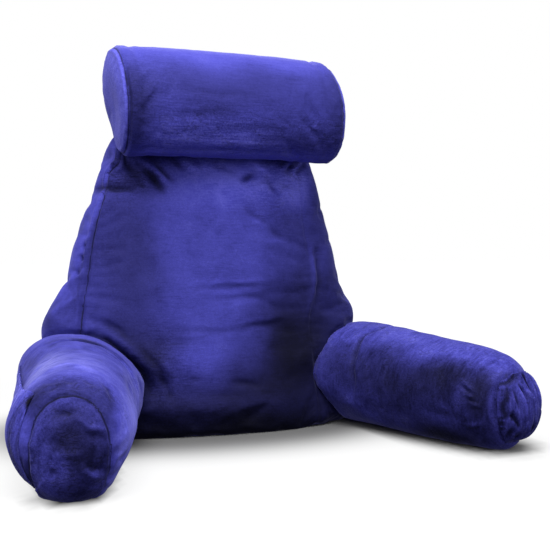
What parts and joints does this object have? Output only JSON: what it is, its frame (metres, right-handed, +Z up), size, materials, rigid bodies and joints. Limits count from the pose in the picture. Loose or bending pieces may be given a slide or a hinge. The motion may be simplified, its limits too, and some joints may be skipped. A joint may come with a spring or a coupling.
{
  "type": "reading pillow with arms",
  "caption": "Plush reading pillow: a wedge-shaped back cushion with side seams, splayed padded arms, a neck roll over its upper front, and gathered elastic pockets on the arms.",
  "frame": {"origin": "middle of the back cushion's flat base, on the floor", "axes": "+Z up, +X to the right of someone facing the pillow, so the arms reach out towards -Y and +Y points to the rear of the back"},
  "size_m": [0.7537, 0.5375, 0.6051],
  "materials": {
    "plush_back_cushion": "short-pile plush, soft nap, matte",
    "plush_arm_left": "short-pile plush, soft nap, matte",
    "plush_arm_right": "short-pile plush, soft nap, matte",
    "plush_neck_roll": "short-pile plush, soft nap, matte",
    "plush_side_pocket": "short-pile plush, gathered on elastic, matte",
    "plush_end_pocket": "short-pile plush, gathered on elastic, matte"
  },
  "bodies": {
    "root": {"back_cushion": "plush_back_cushion", "arm_left": "plush_arm_left", "arm_right": "plush_arm_right", "neck_roll": "plush_neck_roll", "side_pocket": "plush_side_pocket", "end_pocket": "plush_end_pocket"}
  },
  "joints": []
}
